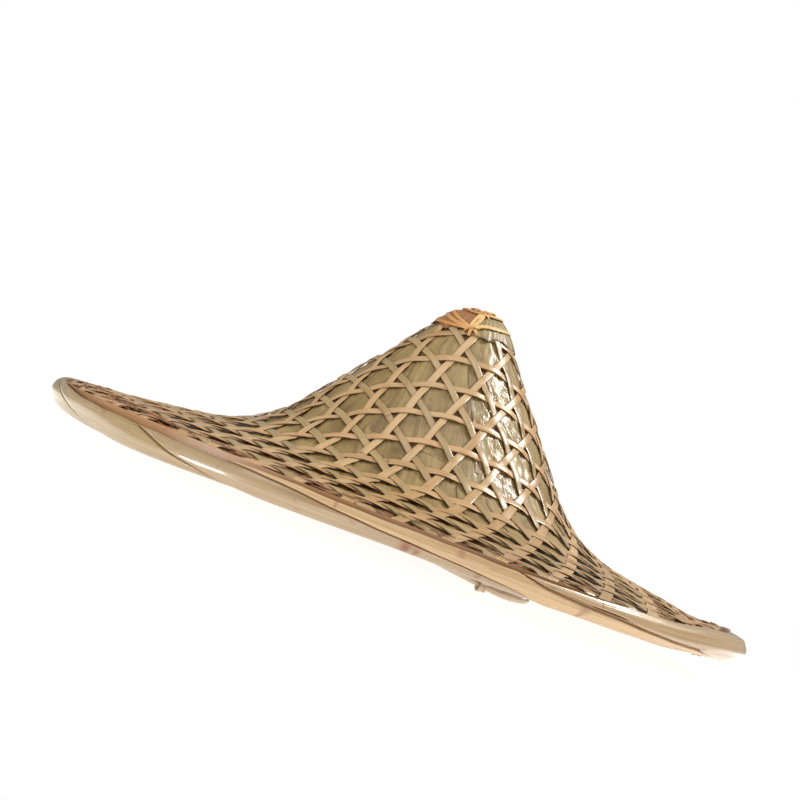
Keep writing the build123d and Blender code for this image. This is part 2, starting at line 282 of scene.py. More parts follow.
class Nodes:
    """A short way to write a material's node tree."""

    def __init__(self, name):
        self.material = bpy.data.materials.new(name)
        self.material.use_nodes = True
        self.tree = self.material.node_tree
        self.shader = self.tree.nodes["Principled BSDF"]

    def put(self, socket, value):
        if isinstance(value, bpy.types.NodeSocket):
            self.tree.links.new(value, socket)
        else:
            socket.default_value = value

    def add(self, kind, inputs=(), output=0, **settings):
        node = self.tree.nodes.new(kind)
        for key, value in settings.items():
            setattr(node, key, value)
        for key, value in dict(inputs).items():
            self.put(node.inputs[key], value)
        return node.outputs[output]

    def math(self, operation, a, b=0.0, clamp=False):
        return self.add("ShaderNodeMath", {0: a, 1: b}, operation=operation, use_clamp=clamp)

    def value(self, name):
        return self.add("ShaderNodeAttribute", output="Fac", attribute_name=name)

    def noise(self, vector, detail=3.0, roughness=0.55):
        inputs = {"Vector": vector, "Scale": 1.0, "Detail": detail, "Roughness": roughness}
        return self.add("ShaderNodeTexNoise", inputs)

    def ramp(self, value, stops):
        node = self.tree.nodes.new("ShaderNodeValToRGB")
        elements = node.color_ramp.elements
        while len(elements) < len(stops):
            elements.new(0.5)
        for element, (place, colour) in zip(elements, stops):
            element.position = place
            element.color = (*colour, 1.0)
        self.put(node.inputs[0], value)
        return node.outputs[0]

    def step(self, value, low, high):
        """0 below low and 1 above high; the other way round when low is over high."""
        inputs = {"Value": value, "From Min": low, "From Max": high}
        return self.add("ShaderNodeMapRange", inputs)

    def mix(self, factor, a, b):
        node = self.tree.nodes.new("ShaderNodeMix")
        node.data_type = "RGBA"
        self.put(node.inputs[0], factor)
        for socket, value in ((node.inputs[6], a), (node.inputs[7], b)):
            self.put(socket, value if isinstance(value, bpy.types.NodeSocket) else (*value, 1.0))
        return node.outputs[2]

    def spread(self, value, low, high):
        return self.add("ShaderNodeMapRange", {"Value": value, "To Min": low, "To Max": high})

    def uv(self):
        """Length along the strip and across it, in metres."""
        uv = self.add("ShaderNodeUVMap", uv_map="UVMap")
        parts = self.tree.nodes.new("ShaderNodeSeparateXYZ")
        self.tree.links.new(uv, parts.inputs[0])
        return parts.outputs[0], parts.outputs[1]

    def along(self, x_scale, y_scale):
        """The UV in metres, stretched, with the strip's own seed as the third axis."""
        u, v = self.uv()
        inputs = {0: self.math("MULTIPLY", u, x_scale), 1: self.math("MULTIPLY", v, y_scale)}
        return self.add("ShaderNodeCombineXYZ", {**inputs, 2: self.value("seed")})

    def bump(self, height, distance, strength=1.0):
        inputs = {"Height": height, "Distance": distance, "Strength": strength}
        return self.add("ShaderNodeBump", inputs)

    def finish(self, colour, roughness, normal, specular=0.5, coat=0.0, coat_roughness=0.2):
        self.put(self.shader.inputs["Base Color"], colour)
        self.put(self.shader.inputs["Roughness"], roughness)
        self.put(self.shader.inputs["Normal"], normal)
        self.shader.inputs["Specular IOR Level"].default_value = specular
        self.shader.inputs["Coat Weight"].default_value = coat
        self.shader.inputs["Coat Roughness"].default_value = coat_roughness
        return self.material


def bamboo(
    name, pale, dark, olive, warm, streak_and_shadow, rough, coat=0.0, joint_every=0.31, coat_rough=0.2,
):
    """Split bamboo: fibres along the strip, a wandering tone, and a joint now and then.

    The value tone goes from dark to pale, hue from olive (-1) to warm (1), and mark puts in
    the streak_and_shadow colour: brown marks, and on the rim painted shadow lines along the joints.
    """
    m = Nodes(name)
    fibre = m.noise(m.along(14.0, 2600.0), 4.0, 0.6)
    cloud = m.noise(m.along(24.0, 70.0), 3.0)
    blotch = m.noise(m.along(90.0, 240.0), 3.0, 0.6)
    tone = m.math("ADD", m.value("tone"), m.spread(cloud, -0.55, 0.55))
    colour = m.mix(m.math("ADD", tone, 0.5, clamp=True), dark, pale)
    hue = m.value("hue")
    colour = m.mix(m.math("MULTIPLY", hue, -1.0, clamp=True), colour, olive)
    colour = m.mix(m.math("MULTIPLY", hue, 1.0, clamp=True), colour, warm)
    colour = m.mix(m.math("MULTIPLY", m.step(fibre, 0.55, 0.38), 0.4), colour, streak_and_shadow)
    colour = m.mix(m.math("MULTIPLY", m.step(blotch, 0.6, 0.75), 0.45), colour, streak_and_shadow)
    # A bamboo joint is a thin brown line across the strip, slightly raised.
    joint_half = 1.3 * MM
    u, _ = m.uv()
    start = m.math("MULTIPLY", m.value("seed"), 7.31)
    shifted = m.math("ADD", m.math("DIVIDE", u, joint_every), start)
    place = m.math("ABSOLUTE", m.math("SUBTRACT", m.math("FRACT", shifted), 0.5))
    away = m.math("MULTIPLY", place, joint_every / joint_half)
    joint = m.math("SUBTRACT", 1.0, away, clamp=True)
    # The value mark adds brown node marks and, on the rim, painted shadow lines along the splits'
    # joints.
    mark = m.math("MAXIMUM", m.math("MULTIPLY", joint, 0.7), m.value("mark"))
    colour = m.mix(m.math("MULTIPLY", mark, 0.9, clamp=True), colour, streak_and_shadow)
    height = m.math("ADD", m.math("MULTIPLY", fibre, 0.6), m.math("MULTIPLY", joint, 0.9))
    roughness = m.math("ADD", m.spread(fibre, *rough), m.math("MULTIPLY", m.value("tone"), 0.22))
    normal = m.bump(height, 0.2 * MM, 0.8)
    return m.finish(colour, roughness, normal, coat=coat, coat_roughness=coat_rough)


strip_bamboo = bamboo(
    "strip bamboo", srgb(200, 170, 124), srgb(164, 131, 84), srgb(150, 132, 88),
    srgb(192, 146, 98), srgb(112, 72, 40), (0.28, 0.46), 0.25,
)
# Its last colour is for streaks, marks, and the painted shadow lines along the rim splits' joints.
rim_bamboo = bamboo(
    "rim bamboo", srgb(160, 140, 108), srgb(138, 118, 84), srgb(132, 116, 68),
    srgb(190, 154, 102), srgb(118, 70, 36), (0.2, 0.3), 0.6, 0.9, 0.08,
)
hoop_bamboo = bamboo(
    "hoop bamboo", srgb(190, 158, 110), srgb(150, 114, 72), srgb(150, 130, 84),
    srgb(176, 124, 72), srgb(96, 62, 34), (0.4, 0.6), 0.0, 0.42,
)
ring_bamboo = bamboo(
    "ring bamboo", srgb(236, 222, 198), srgb(214, 194, 160), srgb(176, 160, 118),
    srgb(206, 166, 116), srgb(138, 100, 64), (0.28, 0.45), 0.2, 0.28,
)
rattan = bamboo(
    "rattan", srgb(228, 188, 122), srgb(200, 150, 84), srgb(186, 150, 92),
    srgb(186, 116, 54), srgb(98, 54, 22), (0.3, 0.45), 0.2,
)
brown_split = bamboo(
    "brown split", srgb(172, 126, 82), srgb(128, 86, 50), srgb(146, 128, 86),
    srgb(160, 98, 52), srgb(66, 34, 16), (0.34, 0.55), 0.1,
)


def leaf_material():
    """Dried bamboo leaf: fine parallel veins, creases, brown edges, a waxy shine in patches.

    The value hue is how rusty the leaf is, tone how dark its brown edge and how deep the painted
    shade in the weave's small triangles, and mark how shiny it is.
    """
    m = Nodes("dry leaf")
    veins = m.noise(m.along(8.0, 800.0), 3.0, 0.5)
    fine = m.noise(m.along(30.0, 3000.0), 2.0, 0.5)
    cloud = m.noise(m.along(22.0, 50.0), 4.0, 0.6)
    crease = m.noise(m.along(90.0, 420.0), 3.0, 0.6)
    stops = ((0.3, srgb(110, 88, 48)), (0.5, srgb(142, 120, 74)), (0.72, srgb(168, 144, 94)))
    base = m.ramp(cloud, stops)
    rust = m.ramp(cloud, ((0.35, srgb(132, 78, 36)), (0.6, srgb(196, 140, 84))))
    rusty = m.math("MULTIPLY", m.value("hue"), m.spread(crease, 0.4, 1.3), clamp=True)
    base = m.mix(rusty, base, rust)
    base = m.mix(m.math("MULTIPLY", m.step(veins, 0.55, 0.38), 0.35), base, srgb(112, 88, 50))
    # Dark brown for the leaf's own brown border, and painted shade in the weave's small triangles.
    base = m.mix(m.value("tone"), base, srgb(84, 50, 22))
    patches = m.step(m.noise(m.along(60.0, 120.0), 3.0), 0.35, 0.6)
    shine = m.math("MULTIPLY", m.value("mark"), patches)
    height = m.math("ADD", m.math("MULTIPLY", veins, 0.35), m.math("MULTIPLY", fine, 0.12))
    height = m.math("ADD", height, m.math("MULTIPLY", crease, m.spread(shine, 0.35, 1.3)))
    roughness = m.spread(shine, 0.6, 0.13)
    return m.finish(base, roughness, m.bump(height, 0.9 * MM, 0.8), specular=0.35, coat=0.25)


dry_leaf = leaf_material()


# ---- the two open weaves ---------------------------------------------------------------
def wave(y, n):
    """Rise of strip n at y, over and under in turn, flat on each crossing."""
    turn = tau * (y / (LATTICE / cos(radians(30))) - 0.25)
    side = 1 if n % 2 == 0 else -1
    return (np.cos(turn) - np.cos(3 * turn) / 9) * 9 / 8 * side


def weave(name, offset, tones, hues):
    """Four families of strips; each family is one piece made of separate strips."""
    rho_end = np.interp(MARKS[-1] - 0.3 * MM, S, RHO)
    for k in range(FAMILIES):
        peak = FIRST_PEAK + radians(90 * k)
        sheets = Sheets()
        for n in range(STRIPS):
            h = (n + 0.5) * LATTICE
            width = STRIP_W * rng.uniform(0.84, 1.0)
            end = np.sqrt(rho_end ** 2 - (h + 0.5 * STRIP_W) ** 2)
            y = np.linspace(-end, end, int(2 * end / (1.8 * MM)))
            drift = slow_noise(y, 0.12, 0.55 * MM)
            rho = np.hypot(h, y)
            scale = np.interp(np.interp(rho, RHO, S), S, R) * TURN / rho
            # Strips are trimmed less towards the brim, so they get wider there.
            wider = 1 + slow_noise(y, 0.09, 0.05) + 0.6 * smooth_step((rho - 0.13) / 0.07)
            across = BAND[None, :, 0] * (width * wider)[:, None]
            x = h + drift[:, None] + across / scale[:, None]
            tilt = slow_noise(y, 0.06, 0.07)[:, None] * across
            rise = offset + WAVE * wave(y, n)[:, None] + BAND[None, :, 1] * STRIP_T + tilt
            flat_r = np.hypot(x, y[:, None])
            azimuth = peak + TURN * np.arctan2(y[:, None], x)
            points = canopy(np.interp(flat_r, RHO, S), azimuth, rise)
            length = np.concatenate(([0.0], np.cumsum(np.diff(y) * scale[:-1])))
            girth = BAND[None, :, 0] * width
            uv = np.stack(np.broadcast_arrays(length[:, None], girth), axis=-1)
            edge = np.broadcast_to(0.35 * (np.abs(BAND[:, 0]) > 0.44), across.shape)
            sheets.tube(
                points, uv, tone=tones[k] + rng.uniform(-0.3, 0.3), mark=edge,
                hue=np.clip(hues[k] + rng.uniform(-0.25, 0.25), -1, 1), seed=rng.uniform(0, 50),
            )
        node = f"{name}_strips_{k + 1}"
        sheets.build(f"{name}_weave_{k + 1}", strip_bamboo, [node])


# ---- leaves ----------------------------------------------------------------------------
def near_strips(s, azimuth):
    """1 in the small triangles of the weave, where the leaves sink away, else 0."""
    # leaf() also uses this value to paint shade into the leaves' colour in these triangles.
    rho = np.interp(s, S, RHO)
    away = []
    for k in range(FAMILIES):
        phi = ((azimuth - FIRST_PEAK - radians(90 * k) + pi) % tau - pi) / TURN
        x = rho * np.cos(phi)
        gap = np.abs((x / LATTICE) % 1.0 - 0.5)
        away.append(np.where((np.abs(phi) < radians(88)) & (x > 0), gap, 1.0))
    third = np.sort(np.stack(away), axis=0)[2]
    return np.clip((0.36 - third) / 0.1, 0.0, 1.0)


def leaf(sheets, azimuth, s0, s1, width, offset, slant):
    """One leaf laid down the slope: its left edge lies over its neighbour's right edge."""
    rows = int((s1 - s0) / (1.5 * MM))
    columns = int(width / (1.3 * MM))
    u = np.linspace(0, 1, rows)[:, None]
    v = np.linspace(-0.5, 0.5, columns)[None, :]
    ragged = 1.0 * MM * np.sin(v * 9 + azimuth * 9) * u
    s = s0 + (s1 - s0) * u + ragged
    s = np.clip(s, 0.5 * MM, MARKS[-1] - 0.6 * MM)
    radius = np.maximum(np.interp(s, S, R), 6 * MM)
    spread = np.minimum(width / radius, radians(80))
    spread = spread * (1.0 + 0.05 * np.sin(u * 9.0 + azimuth * 5))
    angle = azimuth + slant * (u - 0.5) + v * spread
    across = v * width
    shape = np.broadcast_shapes(u.shape, v.shape)
    # The leaves are creased most on the right front of the crown.
    crinkle = 0.4 + 2.5 * facing(angle, 37, 32) * np.exp(-((radius - 58 * MM) / (27 * MM)) ** 2)
    ridge = np.zeros(shape)
    for wavelength, amount in ((9.0, 0.10), (5.3, 0.07), (3.1, 0.05)):
        phase = rng.uniform(0, tau) + 1.6 * np.sin(u * rng.uniform(3, 7) + rng.uniform(0, tau))
        ripple = np.sin(across / (wavelength * MM) * tau + phase)
        ridge = ridge + amount * MM * (0.8 + 0.5 * crinkle) * ripple
    for _ in range(5):
        ku, kv = rng.uniform(5, 14), rng.uniform(-9, 9)
        ridge = ridge + crinkle * 0.06 * MM * np.sin(tau * (ku * u + kv * v) + rng.uniform(0, tau))
    # It sinks away in the weave's small openings, under the tier above and at its own end. In the
    # small openings its colour also gets painted shade.
    shadow = near_strips(s, angle)
    tuck = -0.7 * MM * (1 - smooth_step((s - s0) / (13 * MM))) * (s0 > 10 * MM)
    ridge = ridge * (1 - 0.7 * smooth_step(1 - (s1 - s) / (7 * MM)))
    press = -0.25 * MM * smooth_step(1 - (s1 - s) / (6 * MM))
    height = offset - 0.5 * MM * v + ridge - 0.35 * MM * shadow + tuck + press
    border = np.clip((np.abs(v) - 0.455) / 0.03, 0, 1) * np.ones(shape)
    rust = smooth_step((radius - 0.125) / 0.05) * (0.6 + 0.4 * facing(angle, -70, 75))
    uv = np.stack(np.broadcast_arrays((s1 - s0) * u, across), axis=-1)
    sheets.slab(
        canopy(s, angle, height), canopy(s, angle, height - 0.25 * MM), uv,
        # tone: the leaf's brown border, and painted shade in the weave's small triangles.
        tone=np.clip(np.maximum(shadow * 0.8, border * 0.6), 0, 1), hue=rust * np.ones(shape),
        mark=np.clip(crinkle / 2.4, 0, 1) * np.ones(shape), seed=rng.uniform(0, 50),
    )


def leaves():
    """Three tiers of leaves; each CAD leaf is shown as two overlapping ones."""
    # node names, how many, start and end down the slope, width, height over the canopy
    tiers = (
        ("crown_leaf", 8, 1.5 * MM, MARKS[2] + 6 * MM, 44 * MM, -1.25 * MM),
        ("shoulder_leaf", 10, MARKS[2] - 12 * MM, MARKS[3] + 6 * MM, 56 * MM, -1.65 * MM),
        ("brim_leaf", 12, MARKS[3] - 12 * MM, MARKS[-1] - 2.0 * MM, 80 * MM, -1.95 * MM),
    )
    for name, nodes, s0, s1, width, offset in tiers:
        for i in range(nodes):
            sheets = Sheets()
            for j in range(2):
                azimuth = tau * (i + (j + 0.5) / 2) / nodes + radians(rng.uniform(-3, 3))
                end = s1 - rng.uniform(0, 4) * MM
                wide = width * rng.uniform(0.92, 1.1)
                leaf(sheets, azimuth, s0, end, wide, offset, radians(rng.uniform(-5, 5)))
            node = f"{name}_{i + 1:02d}"
            sheets.build(f"{node}_sheets", dry_leaf, [node])


# ---- rim -------------------------------------------------------------------------------
def rim_surface(angle, around, radius):
    """Points round the rim's tube, which hangs fuller and leans out at the left."""
    fuller = 3.4 * MM * facing(angle, -46, 50) * np.clip(-np.sin(around), 0, 1)
    r = COVER_MID_R + radius * np.cos(around)
    z = COVER_MID_Z + radius * np.sin(around) - fuller
    below = np.clip(COVER_MID_Z + 2.0 * MM - z, 0, 1)
    return bent_rim(r + 0.45 * facing(angle, -28, 36) * below, z, angle)


def rim_top(angle):
    """How far up round the rim the splits reach: at the front they leave the weave in sight."""
    places = (-90, -76, -63, -52, -44, -34, -26, -18, 0, 15, 28, 40, 52, 60, 270)
    reaches = (106, 62, 28, 15, 11, 12, 20, 28, 28, 30, 40, 60, 90, 106, 106)
    azimuth = (np.degrees(angle) + 90) % 360 - 90
    uneven = 2 * np.sin(azimuth / 4) + np.sin(azimuth / 1.3)
    return np.radians(np.interp(azimuth, places, reaches) + uneven)


def start_line(i, t):
    """Azimuth where split i starts, at t from the top of the rim (0) to its bottom (1)."""
    turn, place = divmod(i, len(RIM_STARTS))
    knots = np.linspace(0, 1, 5)
    shifts = (-0.09, -0.04, 0.0, 0.04, 0.09)    # averaged, to round the corners of the line
    line = sum(np.interp(np.clip(t + shift, 0, 1), knots, RIM_STARTS[place]) for shift in shifts)
    return np.radians(line / len(shifts) + 360 * turn)


def rim_cover(sheets, i, look, next_gap):
    """One split folded over the edge.  It starts on top of the one before, on a long slant."""
    tone, hue, marks, gap, painted_gap_shadow = look
    lap = 7.0    # degrees that it runs on under the next split
    t = np.linspace(0, 1, 72)[None, :]
    opening = np.exp(-((t - 0.3) / 0.08) ** 2) + 0.7 * np.exp(-((t - 0.53) / 0.07) ** 2)
    first = start_line(i, t) + radians(gap) * opening
    joint = start_line(i + 1, t)
    a = np.linspace(0, 1, int(np.degrees(joint - first).mean() / 0.14))[:, None]
    angle = first + (joint + radians(1) * (lap - next_gap * opening) - first) * a
    around = rim_top(angle) * (1 - t) - RIM_REACH * t
    # distances square to the slanted lines where this split and the next one start
    girth = 2.5 * COVER_R
    from_start, past_joint = (
        (angle - line) * RIM_MID_R * girth / np.hypot(girth, np.gradient(line[0], t[0]) * RIM_MID_R)
        for line in (first, joint)
    )
    proud = 1.2 * MM * np.exp(-from_start / (12 * MM)) - 0.8 * MM * np.exp(-from_start / (0.4 * MM))
    under = -1.5 * MM * smooth_step(past_joint / (1.2 * MM) + 1.0)
    edge = -0.5 * MM * (np.exp(-t / 0.02) + np.exp(-(1 - t) / 0.02))
    wobble = 0.2 * MM * np.sin(angle * 5 + i) + 0.15 * MM * np.sin(angle * 13 + 2 * around + i)
    radius = COVER_R + 0.1 * MM + proud + under + edge + wobble
    # A painted shadow line along the split's start edge and where it runs under the next split: the
    # shade of the gap between splits, painted in.
    mark = np.exp(-from_start / (0.45 * MM))
    mark = painted_gap_shadow * np.maximum(mark, np.exp(-(past_joint / (0.8 * MM)) ** 2))
    for place, width, low, high in marks:
        away = (np.degrees(angle) - place) * radians(1) * RIM_MID_R + 0.6 * MM * np.sin(around * 3)
        line = np.exp(-(away / (width * MM)) ** 2)
        mark = np.maximum(mark, 1.5 * line * (around > radians(low)) * (around < radians(high)))
    uv = np.stack((angle * RIM_MID_R, around * COVER_R), axis=-1)
    sheets.slab(
        rim_surface(angle, around, radius), rim_surface(angle, around, radius - 1.3 * MM), uv,
        tone=tone, hue=hue, mark=mark, seed=rng.uniform(0, 50),
    )


def sliver(sheets, azimuth, long, reach, wide, lift, slant, **values):
    """A ragged splinter of brown sheath lying along the edge, pointed at both ends."""
    u = np.linspace(-1, 1, 26)[:, None]
    v = np.linspace(-1, 1, 5)[None, :]
    angle = azimuth + long / RIM_MID_R * u / 2
    ragged = 1 + 0.35 * np.sin(u * rng.uniform(5, 12) + rng.uniform(0, tau)) * v
    half = 0.5 * wide * (1 - np.abs(u) ** 2.5) ** 0.8 * ragged + 0.05 * MM
    s = MARKS[-1] - reach + slant * u * long / 2 + half * v
    curl = 0.35 * MM * np.sin(u * rng.uniform(2, 5) + rng.uniform(0, tau))
    height = lift + 0.3 * MM * (1 - v ** 2) + curl
    uv = np.stack(np.broadcast_arrays(angle * RIM_MID_R, s), axis=-1)
    sheets.slab(canopy(s, angle, height), canopy(s, angle, height - 0.35 * MM), uv, **values)


def rim_bark():
    """Splinters of brown sheath where the weave goes under the rim's splits.

    One layer lies all round under the weave, and one on top of it, mostly at the left.
    """
    sheets = Sheets()
    for layer, count in ((0, 170), (1, 130)):
        for i in range(count):
            azimuth = tau * (i + rng.uniform(-0.4, 0.4)) / count
            left = facing(azimuth, -62, 80)
            if layer and rng.uniform() > 0.3 + 0.7 * left:
                continue
            reach = rng.uniform(9, 17 + 9 * left) * MM
            long = rng.uniform(10, 34) * MM
            wide = rng.uniform(1.0, 2.6) * MM * (1.8 - 0.8 * layer)
            lift = (-1.3 + 2.2 * layer) * MM
            sliver(
                sheets, azimuth, long, reach, wide, lift, rng.uniform(-0.12, 0.12),
                tone=rng.uniform(-0.6, 0.7), hue=rng.uniform(-0.6, 0.4) + 0.4 * left,
                mark=rng.uniform(0, 0.6), seed=rng.uniform(0, 50),
            )
    sheets.build("rim_bark", brown_split)


def rim_hoop():
    """The hoop inside the rim that the weave's ends are pressed against."""
    low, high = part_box("rim_hoop_outer")
    angle = np.linspace(pi, 3 * pi, 420)[:, None]
    z = np.linspace(low.z, high.z, 7)[None, :]
    outer, inner = (bent_rim(high.x - thick + 0 * z, z, angle) for thick in (0.0, 2.5 * MM))
    uv = np.stack(np.broadcast_arrays(angle * high.x, z), axis=-1)
    sheets = Sheets()
    sheets.slab(outer, inner, uv, tone=-0.6, hue=0.6, mark=0.25, seed=9.0)
    sheets.build("rim_hoop", hoop_bamboo, ["rim_hoop_outer"])


def rim_rod():
    """The rod inside the rim that the weave turns round."""
    low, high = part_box("rim_rod")
    rod_r = (high.z - low.z) / 2
    angle = np.linspace(0, tau, 420)[:, None]
    around = np.linspace(0, tau, 15)[None, :]
    faces = [
        bent_rim(high.x - rod_r + r * np.cos(around), low.z + rod_r + r * np.sin(around), angle)
        for r in (rod_r, 0.6 * rod_r)
    ]
    uv = np.stack(np.broadcast_arrays(angle * high.x, around * rod_r), axis=-1)
    sheets = Sheets()
    sheets.slab(*faces, uv, tone=-0.2, hue=0.3, seed=4.0)
    sheets.build("rim_rod_bent", hoop_bamboo, ["rim_rod"])


def cut_hoop_end():
    """The cut end of a hoop that stands out of the rim where two splits meet."""
    sheets = Sheets()
    a = np.linspace(0, 1, 40)
    angle = np.radians(83 + 9.5 * a)
    # height over the rim's middle, width and how far it comes out, in mm, and a seed
    for z, width, out, seed in ((-0.6, 3.8, 7.0, 4.4), (2.8, 2.6, 4.0, 7.8)):
        reach = (6.0 + out * a) * MM
        centre = bent_rim(RIM_MID_R + reach, RIM_MID_Z + z * MM + 0 * a, angle)
        outward = around_axis(np.ones_like(a), 0 * a, angle)
        sheets.ribbon(centre, outward, width * MM, 1.7 * MM, tone=0.1, hue=0.2, seed=seed)
    sheets.build("rim_hoop_end", hoop_bamboo)


def closed_band(sheets, r, z0, z1, thickness, start, place=None, raise_low=0.0, **values):
    """A flat hoop whose ends lap: it starts inside and ends half a thickness further out.

    Its lower edge can be raised everywhere but near its own azimuth of 80 degrees.
    """
    whole = 378    # degrees from end to end
    a = np.linspace(0, 1, 420)[:, None]
    angle = radians(start) + radians(whole) * a
    z = np.linspace(0, 1, 9)[None, :]
    late = smooth_step((a - 330 / whole) / (30 / whole))
    radius = r + thickness * 0.5 * (late - 1)
    taper = 1 - 0.5 * (np.exp(-a / 0.004) + np.exp(-(1 - a) / 0.004))
    drift = 0.25 * MM * np.sin(angle * 4) + 0.15 * MM * np.sin(angle * 9 + 1)
    bow = -0.35 * MM * (2 * z - 1) ** 2
    height = z0 + (z1 - z0) * z + drift + raise_low * (1 - facing(angle, 80, 55)) * (1 - z) ** 0.5
    outer = around_axis(radius + bow, height, angle + 0 * z)
    inner = around_axis(radius - 0.5 * thickness * taper + 0 * z, height, angle + 0 * z)
    if place is not None:
        matrix = np.array(place)
        outer, inner = (p @ matrix[:3, :3].T + matrix[:3, 3] for p in (outer, inner))
    uv = np.stack(np.broadcast_arrays(angle * r, height), axis=-1)
    sheets.slab(outer, inner, uv, seed=start, **values)


def rim_covers():
    """The splits that cover the rim.  The first CAD split is shown as two."""
    # azimuth, half width in mm, and the part of the section that each brown mark covers
    node_marks = ((1.5, 2.2, -110, 12), (3.1, 0.9, -110, 25), (12, 0.8, -60, 0))
    # tone, hue, marks, opening at its start in degrees, darkness of the painted shadow lines along
    # its start edge and joint
    looks = (
        (0.1, -0.35, (), 0.0, 0.9),
        (0.0, 0.0, node_marks, 0.0, 0.7),
        (0.95, 0.55, ((28, 0.9, -70, -5), (9, 0.6, 0, 30)), 0.0, 0.3),
        (0.55, 0.25, ((71, 0.6, -30, 60),), 5.0, 0.9),
        (0.1, 0.1, ((118, 0.8, -100, 100),), 0.0, 0.6),
        (0.2, -0.3, ((178, 0.8, -100, 100),), 0.0, 0.6),
        (0.9, -0.95, ((240, 0.8, -100, 100),), 0.0, 0.6),
    )
    owners = (1, 1, 2, 3, 4, 5, 6)
    for number in range(1, 7):
        sheets = Sheets()
        for i, look in enumerate(looks):
            if owners[i] == number:
                rim_cover(sheets, i, look, looks[(i + 1) % len(looks)][3])
        node = f"rim_split_{number}"
        sheets.build(f"rim_cover_{number}", rim_bamboo, [node], 50)


def inner_hoop_and_ties():
    """The rim's inner hoop, and flat ties folded round it that run out under the rim."""
    low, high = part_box("rim_hoop_inner")
    sheets = Sheets()
    closed_band(sheets, high.x, low.z, high.z, 2.3 * MM, 140, tone=0.1, hue=-0.1)
    sheets.build("rim_inner_hoop", hoop_bamboo, ["rim_hoop_inner"])

    sheets = Sheets()
    r_in, r_out = -low.x - 3.0 * MM, RIM_MID_R - 2.6 * MM
    z_low, z_top = low.z - 0.5 * MM, high.z + 3.0 * MM
    for i in range(24):
        azimuth = radians(15 * i + rng.uniform(-1.2, 1.2))
        path = np.array([
            (r_in + 1.0 * MM, z_top), (r_in, z_top - 1.5 * MM), (r_in, z_low + 1.2 * MM),
            (r_in + 0.5 * MM, z_low + 0.2 * MM), (r_in + 1.6 * MM, z_low),
            (r_out, z_low + 0.4 * MM),
        ])
        u = np.linspace(0, len(path) - 1, 30)
        r, z = (np.interp(u, np.arange(len(path)), path[:, c]) for c in (0, 1))
        centre = around_axis(r, z, azimuth + 0.008 * np.sin(u))
        step = np.gradient(np.stack((r, z)), axis=1)
        normal = around_axis(-step[1], 0 * u, azimuth * np.ones_like(u))
        normal[:, 2] = step[0]
        normal = -normal / np.linalg.norm(normal, axis=1, keepdims=True)
        tone = rng.uniform(-0.3, 0.3)
        sheets.ribbon(centre, normal, 4.0 * MM, 0.6 * MM, tone=tone, hue=0.1, seed=i)
    sheets.build("rim_tie_bands", rattan, ["rim_ties"])


# ---- head ring ---------------------------------------------------------------------------
def head_ring():
    """Two split bands, one inside the other, hung askew on six straps."""
    half = 13.0 * MM    # half the ring's height
    outer_r, inner_r = 90.1 * MM, 86.5 * MM
    thick = 2.5 * MM
    height = outer_r * sin(RING_TILT) + half * cos(RING_TILT)
    place = Matrix.Translation((0, 0, height))
    place = place @ Matrix.Rotation(RING_LOW_AT - pi / 2, 4, "Z")
    place = place @ Matrix.Rotation(RING_TILT, 4, "Y")
    sheets = Sheets()
    closed_band(sheets, outer_r, -half + 5.2 * MM, half, thick, 200, place, 2.2 * MM, tone=0.3)
    closed_band(
        sheets, outer_r, -half + 0.3 * MM, -half + 3.6 * MM, thick, 250, place, 3.2 * MM,
        tone=0.1, hue=0.1,
    )
    sheets.build("head_band_outer", ring_bamboo, ["head_ring_outer"])
    sheets = Sheets()
    closed_band(sheets, inner_r, -half + 1 * MM, half - 1 * MM, thick, 20, place, tone=0.1)
    sheets.build("head_band_inner", ring_bamboo, ["head_ring_inner"])

    # Each strap hangs from the inner weave, loops under the outer band and goes back up.
    sheets = Sheets()
    matrix = np.array(place)
    r_in, r_out, low = 86.95 * MM, outer_r + 0.55 * MM, -half - 0.55 * MM
    for i in range(6):
        azimuth = radians(60 * i)
        top = strap_top(azimuth, outer_r + 0.9 * MM, matrix)
        path = np.array([
            (r_in, top), (r_in, 0), (r_in, low + 1.0 * MM), (r_in + 0.5 * MM, low),
            (r_out - 0.6 * MM, low), (r_out, low + 1.2 * MM), (r_out, 0), (r_out, top),
        ])
        u = np.linspace(0, len(path) - 1, 56)
        r, z = (np.interp(u, np.arange(len(path)), path[:, c]) for c in (0, 1))
        centre = around_axis(r, z, azimuth + 0.006 * np.sin(u * 2 + i))
        centre = centre @ matrix[:3, :3].T + matrix[:3, 3]
        across = around_axis(np.ones_like(u), 0 * u, azimuth + pi / 2) @ matrix[:3, :3].T
        along = np.gradient(centre, axis=0)
        normal = np.cross(along, across)
        sheets.ribbon(centre, normal, 5.0 * MM, 0.6 * MM, tone=rng.uniform(-0.2, 0.3), seed=i)
    sheets.build("head_strap_bands", ring_bamboo, ["head_straps"])


def strap_top(azimuth, radius, matrix):
    """Height over the ring's middle where a strap meets the inner weave's underside."""
    heights = np.arange(13, 60, 0.5) * MM
    points = around_axis(radius, heights, azimuth + 0 * heights)
    points = points @ matrix[:3, :3].T + matrix[:3, 3]
    r, z = np.hypot(points[:, 0], points[:, 1]), points[:, 2]
    away = np.hypot(r[:, None] - R[None], z[:, None] - Z[None])
    nearest = away.argmin(axis=1)
    rise = (r - R[nearest]) * np.sin(SLOPE[nearest]) + (z - Z[nearest]) * np.cos(SLOPE[nearest])
    return heights[np.argmax(rise > INNER_WEAVE - 1.0 * MM)]


# ---- tip -----------------------------------------------------------------------------------
def over_tip(s, azimuth, lift):
    """Points over the bound tip, which is flat on top and a little fuller than the canopy."""
    s_mm = np.asarray(s) / MM
    full = np.interp(s_mm, (0, 8, 13, 20, 28, 34), (2.1, 3.1, 2.4, 1.4, 0.95, 0.7)) * MM
    points = canopy(s, azimuth, full + lift)
    # The top slants, with its high side towards +X.
    points[..., 2] += 0.10 * points[..., 0] * np.exp(-(s_mm / 14) ** 2)
    return points


